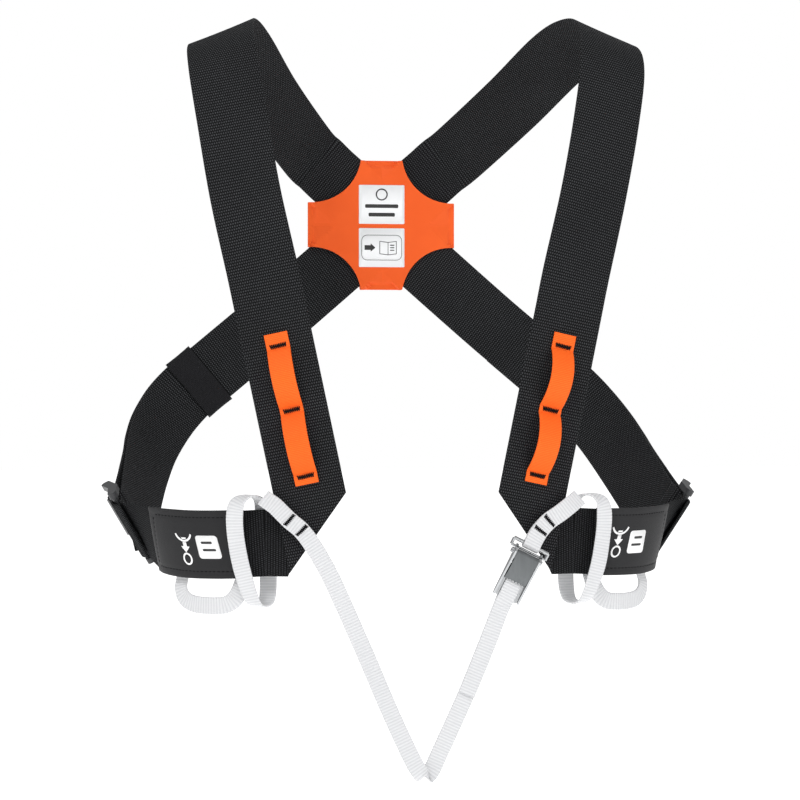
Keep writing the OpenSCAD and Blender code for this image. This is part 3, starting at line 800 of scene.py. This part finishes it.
def film(name, shapes, place, finish, body, nodes=(), mirror=False, slice_mm=1.6,
         thick=0.12):
    """Flat outlines sliced, laid in place and given a hair of thickness."""
    bm = bmesh.new()
    for shape in shapes:
        bm.faces.new([bm.verts.new((x, y, 0)) for x, y in shape])
    xs = [v.co.x for v in bm.verts]
    for cut in np.arange(min(xs) + slice_mm, max(xs), slice_mm):
        bmesh.ops.bisect_plane(bm, geom=bm.verts[:] + bm.edges[:] + bm.faces[:],
                               plane_co=(cut, 0, 0), plane_no=(1, 0, 0))
    bmesh.ops.remove_doubles(bm, verts=bm.verts[:], dist=1e-4)
    bmesh.ops.triangulate(bm, faces=bm.faces[:])
    bmesh.ops.recalc_face_normals(bm, faces=bm.faces[:])
    bm.verts.index_update()
    flat = np.array([v.co[:2] for v in bm.verts])
    tris = [tuple(v.index for v in face.verts) for face in bm.faces]
    edges = [(tuple(v.index for v in e.verts), e.link_loops[0].vert.index)
             for e in bm.edges if len(e.link_loops) == 1]
    bm.free()
    n = len(flat)
    points = np.vstack([place(flat, thick), place(flat, 0.0)])
    faces = tris + [tuple(i + n for i in reversed(t)) for t in tris]
    for (i, j), first in edges:
        i, j = (i, j) if first == i else (j, i)
        faces.append((j, i, i + n, j + n))
    return make(name, points, faces, finish, body, nodes, None, mirror)


print("film maker ready")

# %% Marks on the covers
MARKS_FROM_END = 28
MARK_AT = cover_strip.length - MARKS_FROM_END
# The marks clear the cover where it stands proudest between its seams
mark_face = cover_face + 0.32


def on_cover(flat, out):
    return cover_strip.at(MARK_AT - flat[:, 0], flat[:, 1], mark_face + out)


LEAN = 0.26


def leaning(shape, to):
    """A flat outline moved, and slanted sideways with height."""
    return [(px + to[0] + LEAN * py, py + to[1]) for px, py in shape]


cup_line = [(6.3 * math.sin(t), 8.2 - 6.2 * math.cos(t))
            for t in np.radians(np.linspace(-72, 72, 15))]
arrow = [(-1.3, 1.2), (-1.3, -1.4), (-3.4, -1.4), (0.1, -5.2), (3.3, -1.4), (1.4, -1.4),
         (1.4, 1.2)]
pictogram = (stroke(cup_line, 1.2) + stroke([(-1.7, 3.6), (1.7, 3.6)], 1.1) + [arrow]
             + stroke(ring_line(0, -9.2, 2.9, 3.3), 1.1, True))
field = rounded(14.8, 14.4, 1.9, 0, -1.6)
bars = [rounded(w, 1.5, 0.7, x, y) for w, x, y in ((7.4, 0.4, 1.2), (8.8, -0.4, -3.4))]
# The pictogram comes first and the field second on both sides, as seen from the front
for side, at_sign, at_field in (("right", (-11.2, 3.0), (4.4, 1.2)),
                                 ("left", (9.9, 0), (-6.5, 0))):
    film(f"panel_print_{side}", [leaning(x, at_sign) for x in pictogram]
         + [leaning(field, at_field)], on_cover, "white_print", "harness",
         [f"panel_badge_{side}"], mirror=side == "left")
    film(f"panel_print_bars_{side}", [leaning(bar, at_field) for bar in bars],
         lambda flat, out: on_cover(flat, out + 0.12), "grey_print", "harness",
         mirror=side == "left")
print("marks on both covers")

# %% [markdown]
# ## Orange loops on the chest
# A narrow orange webbing runs down each chest strap, sewn by three bar tacks. Between the tacks
# it stands proud, so that a cord or a small clip can pass behind it.

# %% Orange loops and their tacks
TACK_U = (-33.0, -74.0, -116.0)
LOOPS_TOP, LOOPS_END = -25.0, -121.0
LOOP_W, LOOP_T, LOOP_RISE = 15.0, 1.4, 9.5
LOOP_SEAT = 1.9
# The webbing stays flat this far to either side of a tack
TACK_FLAT = 2.6


def hump(u):
    top, low = TACK_U[:2] if u > TACK_U[1] else TACK_U[1:]
    top, low = top - TACK_FLAT, low + TACK_FLAT
    if not low < u < top:
        return 0.0
    return LOOP_RISE * math.sin(math.pi * (u - top) / (low - top)) ** 0.8


loop_strip = Strip([chest_station(u, LOOP_SEAT + hump(u))
                    for u in np.linspace(LOOPS_TOP, LOOPS_END, 193)])


def tack_place(u):
    return loop_strip.nearest(on_chest(0, u, LOOP_SEAT))


for side in ("left", "right"):
    flip = side == "right"
    tape(f"chest_loop_webbing_{side}", loop_strip, LOOP_W, LOOP_T, "orange_webbing", "harness",
         [f"chest_loops_{side}"], rib=RIB_ORANGE, rise=0.06, across=10, mirror=flip)
    paths = [bar_tack(loop_strip, tack_place(u), 10.2, 2.8, -LOOP_T / 2 - TACK_PROUD, 18)
             for u in TACK_U]
    tubes(f"chest_loop_tacks_{side}", paths, TACK_R, "harness", [f"chest_tacks_{side}"],
          mirror=flip)
print("orange webbing is", round(loop_strip.length), "mm long on each side")

# %% [markdown]
# ## Back plate
# Two layers of orange coated fabric hold the crossing straps between them. They lie flat on the
# straps, and slope together where no strap lies between them, towards the sewn ends of the four
# arms. That slope starts at the straps' edges, which is what gives the plate its creases.

# %% Plate outline and folds
PLATE = dict(w=106.0, h=93.0, arm=30.0, thick=1.2, cut_r=36.0, rise=5.5)
PLATE_Z = -118
SEAM = 5.0
# This is the direction across a strap. The fold starts just outside the strap's edge.
ACROSS_X, ACROSS_Z = 0.696, 0.718
FOLD_FROM, FOLD_SLOPE, FOLD_MOST = 23.2, 0.26, 2.5
# A sewn end comes in by at least this depth, where it is this far outside the fold's start
SEWN_DEPTH, SEWN_CLEAR = 2.3, 2


def plate_outline():
    """The plate's outline: a rectangle with four round bites at its corners."""
    cx = PLATE["arm"] / 2 + math.sqrt(PLATE["cut_r"] ** 2 - PLATE["rise"] ** 2)
    cy = PLATE["h"] / 2 + PLATE["rise"]
    w, h, r = PLATE["w"] / 2, PLATE["h"] / 2, PLATE["cut_r"]
    top = math.atan2(h - cy, PLATE["arm"] / 2 - cx)
    side = math.atan2(-math.sqrt(r * r - (w - cx) ** 2), w - cx)
    if top > 0:
        top -= 2 * math.pi
    bite = [(cx + r * math.cos(t), cy + r * math.sin(t)) for t in np.linspace(side, top, 15)]
    corner = [(w, bite[0][1])] + bite[1:-1] + [(PLATE["arm"] / 2, h)]
    quarter = np.array(corner)
    out = list(quarter) + [(-x, y) for x, y in quarter[::-1]]
    return out + [(-x, -y) for x, y in quarter] + [(x, -y) for x, y in quarter[::-1]]


def fold_depth(x, z):
    """How far a layer leaves the straps' plane, from 0 on the straps to 2.5 at a sewn end."""
    centre = np.minimum(np.abs(ACROSS_X * x + ACROSS_Z * z), np.abs(-ACROSS_X * x + ACROSS_Z * z))
    clear = centre - FOLD_FROM
    depth = np.clip(clear * FOLD_SLOPE, 0, FOLD_MOST)
    sewn = (np.abs(x) > PLATE["w"] / 2 - SEAM) | (np.abs(z) > PLATE["h"] / 2 - SEAM)
    return np.where(sewn & (clear > SEWN_CLEAR), np.maximum(depth, SEWN_DEPTH), depth)


print("plate outline has", len(plate_outline()), "points")


# %% Plate layers
PLATE_GRID = 1.9


def plate_layer(name, y, way, node, extra=()):
    """One layer: way is the direction of its fold, towards the other layer."""
    bm = bmesh.new()
    bm.faces.new([bm.verts.new((x, z, 0)) for x, z in plate_outline()])
    for axis, reach in ((0, PLATE["w"] / 2), (1, PLATE["h"] / 2)):
        for cut in np.arange(-reach + PLATE_GRID, reach, PLATE_GRID):
            co, no = [0, 0, 0], [0, 0, 0]
            co[axis], no[axis] = cut, 1
            bmesh.ops.bisect_plane(bm, geom=bm.verts[:] + bm.edges[:] + bm.faces[:],
                                   plane_co=co, plane_no=no)
    bm.verts.index_update()
    flat = np.array([v.co[:2] for v in bm.verts])
    faces = [tuple(v.index for v in face.verts) for face in bm.faces]
    rim = [(e.link_loops[0].vert.index, e.link_loops[0].link_loop_next.vert.index)
           for e in bm.edges if len(e.link_loops) == 1]
    bm.free()
    n = len(flat)
    t = PLATE["thick"]
    shift = way * fold_depth(flat[:, 0], flat[:, 1])
    near = np.stack([flat[:, 0], y + shift, PLATE_Z + flat[:, 1]], 1)
    far = near + [0, t, 0]
    sides = [(i, i + n, j + n, j) for i, j in rim]
    layer = make(name, np.vstack([near, far]),
                 faces + [tuple(i + n for i in reversed(f)) for f in faces]
                 + [tuple(reversed(f)) for f in sides],
                 "orange_coated_fabric", "harness", [node, *extra])
    bm = bmesh.new()
    bm.from_mesh(layer.data)
    bmesh.ops.recalc_face_normals(bm, faces=bm.faces[:])
    area = sum(f.calc_area() for f in bm.faces if abs(f.normal.y) > 0.7) / 2
    bm.to_mesh(layer.data)
    bm.free()
    for polygon in layer.data.polygons:
        polygon.use_smooth = False
    soften = layer.modifiers.new("soft_rim", "BEVEL")
    soften.width = 0.0003
    soften.segments = 2
    soften.limit_method = "ANGLE"
    soften.angle_limit = math.radians(60)
    return area


INNER_Y, OUTER_Y = 109.4 - PLATE["thick"], 114.6
area = plate_layer("plate_inner_cloth", INNER_Y, 1, "back_plate_inner", ["back_plate_seams"])
plate_layer("plate_outer_cloth", OUTER_Y, -1, "back_plate_outer")
print("each plate layer has", round(area * 1e4), "square centimetres")

# %% [markdown]
# ## Patches on the plate
# Two white patches are sewn on the wearer's side. Their printing is replaced by plain marks that
# say nothing: a ring and bars on one, and a frame with an arrow and an open leaflet on the other.

# %% White patches
PATCH = dict(w=33.0, h=28.0, t=0.4)
PATCH_UP, PATCH_DOWN = 14.8, -16.3


def on_patch(z, y):
    def place(flat, out):
        return np.stack([flat[:, 0], np.full(len(flat), y) - out, PLATE_Z + z + flat[:, 1]],
                        1)
    return place


for name, z, node in (("patch_top", PATCH_UP, "care_label_top"),
                      ("patch_bottom", PATCH_DOWN, "care_label_bottom")):
    patch = film(name, [rounded(PATCH["w"], PATCH["h"], 0.7)], on_patch(z, INNER_Y),
                 "white_patch", "harness", [node], thick=PATCH["t"], slice_mm=3)
marks = {
    "patch_top_marks": (PATCH_UP, stroke(ring_line(0, 7.2, 3.9, 3.9), 0.9, True)
                        + [rounded(24, 2.6, 0.8, 0, -1.2), rounded(19, 2.6, 0.8, 0, -7.4)]),
    "patch_bottom_marks": (PATCH_DOWN, stroke(rounded(29, 18, 4), 0.35, True)
                           + [[(-12.4, 1.7), (-8, 1.7), (-8, 3), (-4.6, 0), (-8, -3), (-8, -1.7),
                               (-12.4, -1.7)]]
                           + stroke([(-1.4, 4.6), (4.6, 3.8), (10.6, 4.6), (10.6, -4.4),
                                     (4.6, -5.2), (-1.4, -4.4)], 0.45, True)
                           + stroke([(4.6, 3.8), (4.6, -5.2)], 0.4)
                           + [rounded(3.2, 0.7, 0.3, 7.6, y) for y in (1.8, 0, -1.8)]),
}
for name, (z, shapes) in marks.items():
    film(name, shapes, on_patch(z, INNER_Y - PATCH["t"]), "grey_print", "harness",
         thick=0.1, slice_mm=3)
print("patches and marks on the plate")

# %% [markdown]
# ## Elastic keepers
# A sleeve of woven elastic holds the strap's loose end to the strap. It is a hollow band with
# soft corners, a little waisted where it grips, and open at both ends.

# %% Keepers
KEEPER = dict(at=np.array([131, 113.2, -231]), long=21.0, t=1.4, room=(5.6, 46.2))
FLANK_WIDE, FLANK_ALONG = unit([0.64, 0, 0.77]), unit([0.77, 0, -0.64])
BACK = np.array([0, 1, 0])


def sleeve_line(w, h, r, n):
    """A rounded rectangle with even points, w through the straps and h along their width."""
    corners = rounded(w, h, r, steps=7)
    corners = np.array(corners + [corners[0]])
    far = np.concatenate([[0], np.cumsum(np.linalg.norm(np.diff(corners, axis=0), axis=1))])
    t = np.linspace(0, far[-1], n, endpoint=False)
    return np.stack([np.interp(t, far, corners[:, k]) for k in (0, 1)], 1), t


def keeper(name, node, mirror):
    n, rows = 120, 43
    t = KEEPER["t"]
    inner, _ = sleeve_line(*KEEPER["room"], 0.8, n)
    outer, walk = sleeve_line(KEEPER["room"][0] + 2 * t, KEEPER["room"][1] + 2 * t, 2.0, n)
    along = np.linspace(-KEEPER["long"] / 2, KEEPER["long"] / 2, rows)
    points = []
    for loop, is_outer in ((outer, True), (inner, False)):
        for z in along:
            e = abs(z) / (KEEPER["long"] / 2)
            rib = 0.05 * math.cos(2 * math.pi * z / 1.0) if is_outer else 0.0
            pinch = 1 - (0.012 * (1 - e * e) if is_outer else 0)
            lip = -0.35 * max(0.0, e - 0.93) / 0.07 if is_outer else 0.0
            for x, y in loop:
                fold = 0.22 * math.exp(-((y - 1.1 * z) / 3.5) ** 2) if is_outer and x < 0 else 0
                gx = x * (1 + (rib + lip) / 4) + fold
                points.append(KEEPER["at"] + gx * BACK + y * pinch * FLANK_WIDE
                              + z * FLANK_ALONG)
    faces, uv = [], []
    for layer in (0, 1):
        base = layer * rows * n
        for i in range(rows - 1):
            for k in range(n):
                q = (k + 1) % n
                face = [base + i * n + k, base + i * n + q, base + (i + 1) * n + q,
                        base + (i + 1) * n + k]
                u0, u1 = walk[k], walk[k] + walk[1]
                corner = [(u0, along[i]), (u1, along[i]), (u1, along[i + 1]), (u0, along[i + 1])]
                faces.append(tuple(face if layer == 0 else face[::-1]))
                uv.append(corner if layer == 0 else corner[::-1])
    for i, turned in ((0, True), (rows - 1, False)):
        for k in range(n):
            q = (k + 1) % n
            o0, o1 = i * n + k, i * n + q
            i0, i1 = rows * n + o0, rows * n + o1
            face = [o0, o1, i1, i0]
            faces.append(tuple(face[::-1] if turned else face))
            uv.append([(walk[k], along[i])] * 4)
    return make(name, points, faces, "black_elastic", node, [node], uv, mirror)


for side in ("right", "left"):
    keeper(f"elastic_keeper_{side}", f"keeper_{side}", side == "left")
print("keepers are", KEEPER["long"], "mm long")

# %% [markdown]
# ## White webbing: rings and gear loops
# A closed ring of white webbing goes round each side panel, and a gear loop hangs under it, sewn
# behind the panel at both ends.

# %% Rings and gear loops
CORD_W, CORD_T = 11.0, 1.5
RING = [
    [116, -109.5, -331, 0.94, 0.33, 0],
    [117, -110, -316, 0.94, 0.33, 0.05],
    [115, -110, -307.5, 0.8, 0.6, 0.1],
    [108, -107.5, -303.7, 0.5, 0.86, 0],
    [101, -102, -306.5, 0.6, 0.8, 0],
    [98, -97.5, -316.5, 0.94, 0.3, 0],
    [96, -95.5, -340, 0.96, 0.25, 0],
    [95, -95, -358, 0.96, 0.25, 0],
    [97, -99.5, -371, 0.9, 0.4, -0.1],
    [105, -108, -370, 0.9, 0.45, 0.2],
    [112, -111, -351, 0.94, 0.33, 0.1]]
GEAR_LOOP = [
    [146.4, -75.8, -344, 0.64, 0.77, 0],
    [148.2, -76.2, -356.5, 0.64, 0.77, 0],
    [149.2, -77.6, -362.5, 0.67, 0.74, -0.1],
    [147.8, -80, -368, 0.61, 0.6, -0.51],
    [144, -84, -371.4, 0.32, 0.31, -0.9],
    [138, -89.5, -372.8, 0.05, 0.05, -1],
    [129, -95.5, -373, 0, 0, -1],
    [122, -97.8, -372.2, -0.08, 0, -1],
    [116.8, -98.7, -369, -0.5, -0.15, -0.84],
    [112.8, -98.8, -362.5, -0.82, -0.25, -0.5],
    [110.2, -98.6, -354, -0.95, -0.25, -0.15],
    [109.4, -98.5, -345, -0.96, -0.25, 0]]
white = dict(width=CORD_W, thick=CORD_T, finish="white_webbing", rib=RIB_WHITE, rise=0.07,
             across=8)
ring_strip = Strip(smooth(RING, 12, closed=True), closed=True)
gear_strip = Strip(smooth(GEAR_LOOP))
for side in ("right", "left"):
    flip = side == "left"
    tape(f"ring_webbing_{side}", ring_strip, body="cinch_rings", nodes=[f"ring_{side}"],
         mirror=flip, **white)
    tape(f"gear_loop_webbing_{side}", gear_strip, body=f"gear_loop_{side}",
         nodes=[f"gear_loop_{side}"], mirror=flip, **white)
print("ring", round(ring_strip.length), "mm round, gear loop", round(gear_strip.length), "mm")

# %% [markdown]
# ## White webbing: the yoke
# The yoke strap comes down from the left chest, folds flat at the lowest point, goes up to the
# buckle behind its base plate and turns back round a bar. Its loose end lies in front again. On
# the right a short doubled strap anchors the buckle.

# %% The buckle's frame
BUCKLE_AT = np.array([58.6, -121, -354])
BUCKLE_LEAN = math.radians(26.5)
BUCKLE_WIDE = np.array([math.cos(BUCKLE_LEAN), 0, -math.sin(BUCKLE_LEAN)])
BUCKLE_UP = np.array([math.sin(BUCKLE_LEAN), 0, math.cos(BUCKLE_LEAN)])
BUCKLE_OUT = np.array([0, -1, 0])
WIRE_TURN = 2.35


def buckle_station(u, o):
    return [*(BUCKLE_AT + u * BUCKLE_UP + o * BUCKLE_OUT), *BUCKLE_WIDE]


print("buckle leans", round(math.degrees(BUCKLE_LEAN), 1), "degrees")

# %% Yoke strap, loose end and anchor strap
YOKE_DOWN = [
    [-99.4, -113.4, -304.6, 0.62, 0.2, 0.76],
    [-96.4, -114.5, -306.8, 0.6, 0.18, 0.78],
    [-92, -115.5, -310, 0.6, 0.15, 0.78],
    [-83.5, -117.8, -318.5, 0.6, 0.12, 0.8],
    [-76, -119, -325, 0.66, 0.1, 0.75],
    [-69, -120.3, -334.5, 0.78, 0, 0.62],
    [-60, -121, -350, 0.86, 0, 0.5],
    [-51, -121, -369, 0.9, 0, 0.43],
    [-36, -121, -403, 0.91, 0, 0.41],
    [-21, -121, -438, 0.92, 0, 0.4],
    [-8, -121, -466, 0.94, 0, 0.34],
    [-2.5, -121, -475.5, 0.98, 0, 0.2],
    [1, -119.8, -478.5, 1, 0, 0],
    [5, -118.6, -475.5, 0.98, 0, -0.2],
    [10.5, -118.6, -464, 0.93, 0, -0.37],
    [26, -119.5, -430, 0.92, 0, -0.4],
    [38.5, -119.5, -400, 0.91, 0, -0.42]]
yoke_rows = smooth(YOKE_DOWN + [buckle_station(u, -1.75) for u in (-18, -4, 4)])
yoke_turn = [buckle_station(8 + WIRE_TURN * math.cos(t), 0.2 + WIRE_TURN * math.sin(t))
             for t in np.radians(np.arange(-90, 91, 15))]
yoke_strip = Strip(np.vstack([yoke_rows, yoke_turn]))
tail_strip = Strip(smooth([
    buckle_station(7.6, 2.55), buckle_station(2, 1.9), buckle_station(-5, 1.55),
    buckle_station(-14, 1.6), buckle_station(-24, 1.2),
    [38.5, -121.4, -400, 0.91, 0, -0.42], [27, -121.4, -427.5, 0.92, 0, -0.4]]))
ANCHOR = np.array([
    [100, -112.4, -305.8, 0.62, -0.17, -0.76],
    [94, -116, -310, 0.6, -0.15, -0.78],
    [87, -118, -315, 0.6, -0.12, -0.8],
    [79.5, -119, -320, 0.66, -0.1, -0.75],
    [73.5, -120.5, -326, 0.8, 0, -0.6]])
ANCHOR_LAY = 0.95
anchor_front = smooth(list(lifted(ANCHOR, -ANCHOR_LAY)) + [buckle_station(24.5, 1.9)])
anchor_back = smooth(list(lifted(ANCHOR, ANCHOR_LAY)) + [buckle_station(24.5, -1.3)])
anchor_turn = [buckle_station(21 - WIRE_TURN * math.cos(t), 0.3 + WIRE_TURN * math.sin(t))
               for t in np.radians(np.arange(90, -91, -15))]
anchor_strip = Strip(np.vstack([anchor_front, anchor_turn, anchor_back[::-1]]))
tape("yoke_webbing", yoke_strip, body="front_yoke", nodes=["yoke_strap"], **white)
tape("yoke_loose_end", tail_strip, body="front_yoke", nodes=["yoke_tail"], **white)
tape("anchor_webbing", anchor_strip, body="front_yoke", nodes=["anchor_strap"], **white)
print("yoke strap is", round(yoke_strip.length + tail_strip.length), "mm long")

# %% Bar tacks on the yoke
tacks = []
for strip, rows in ((yoke_strip, YOKE_DOWN),
                    (anchor_strip, [*lifted(ANCHOR, -ANCHOR_LAY), buckle_station(24.5, 1.9)])):
    for i in (3, 4):
        tacks.append(bar_tack(strip, strip.nearest(rows[i][:3]), 8.8, 2.3,
                              -CORD_T / 2 - TACK_PROUD, 15))
tubes("yoke_bar_tacks", tacks, TACK_R, "front_yoke", ["yoke_tacks"])
print(len(tacks), "bar tacks on the yoke")

# %% [markdown]
# ## Hard parts
# The ladder locks, the cam buckle, its pin and its spring keep their CAD shape. Their edges are
# softened by a bevel after the split corners are joined, so that they catch the light.

# %% Hard parts
HARD = {
    "ladder_lock_left": ("black_nylon", 0.5), "ladder_lock_right": ("black_nylon", 0.5),
    "buckle_frame": ("steel", 0.22), "buckle_cam": ("grey_steel", 0.18),
    "cam_pin": ("steel", 0.12), "cam_spring": ("steel", 0.0),
}
for node, (finish, edge) in HARD.items():
    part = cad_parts[node]
    part.data.materials.clear()
    part.data.materials.append(FINISH[finish])
    weld = part.modifiers.new("join_corners", "WELD")
    weld.merge_threshold = 1e-6
    if edge:
        soften = part.modifiers.new("soft_edges", "BEVEL")
        soften.width = edge * MM
        soften.segments = 3
        soften.limit_method = "ANGLE"
        soften.angle_limit = math.radians(35)
    part.modifiers.new("even_light", "WEIGHTED_NORMAL")
print("finished", len(HARD), "hard parts")

# %% Count the pieces
print("pieces made:", len(PIECES))
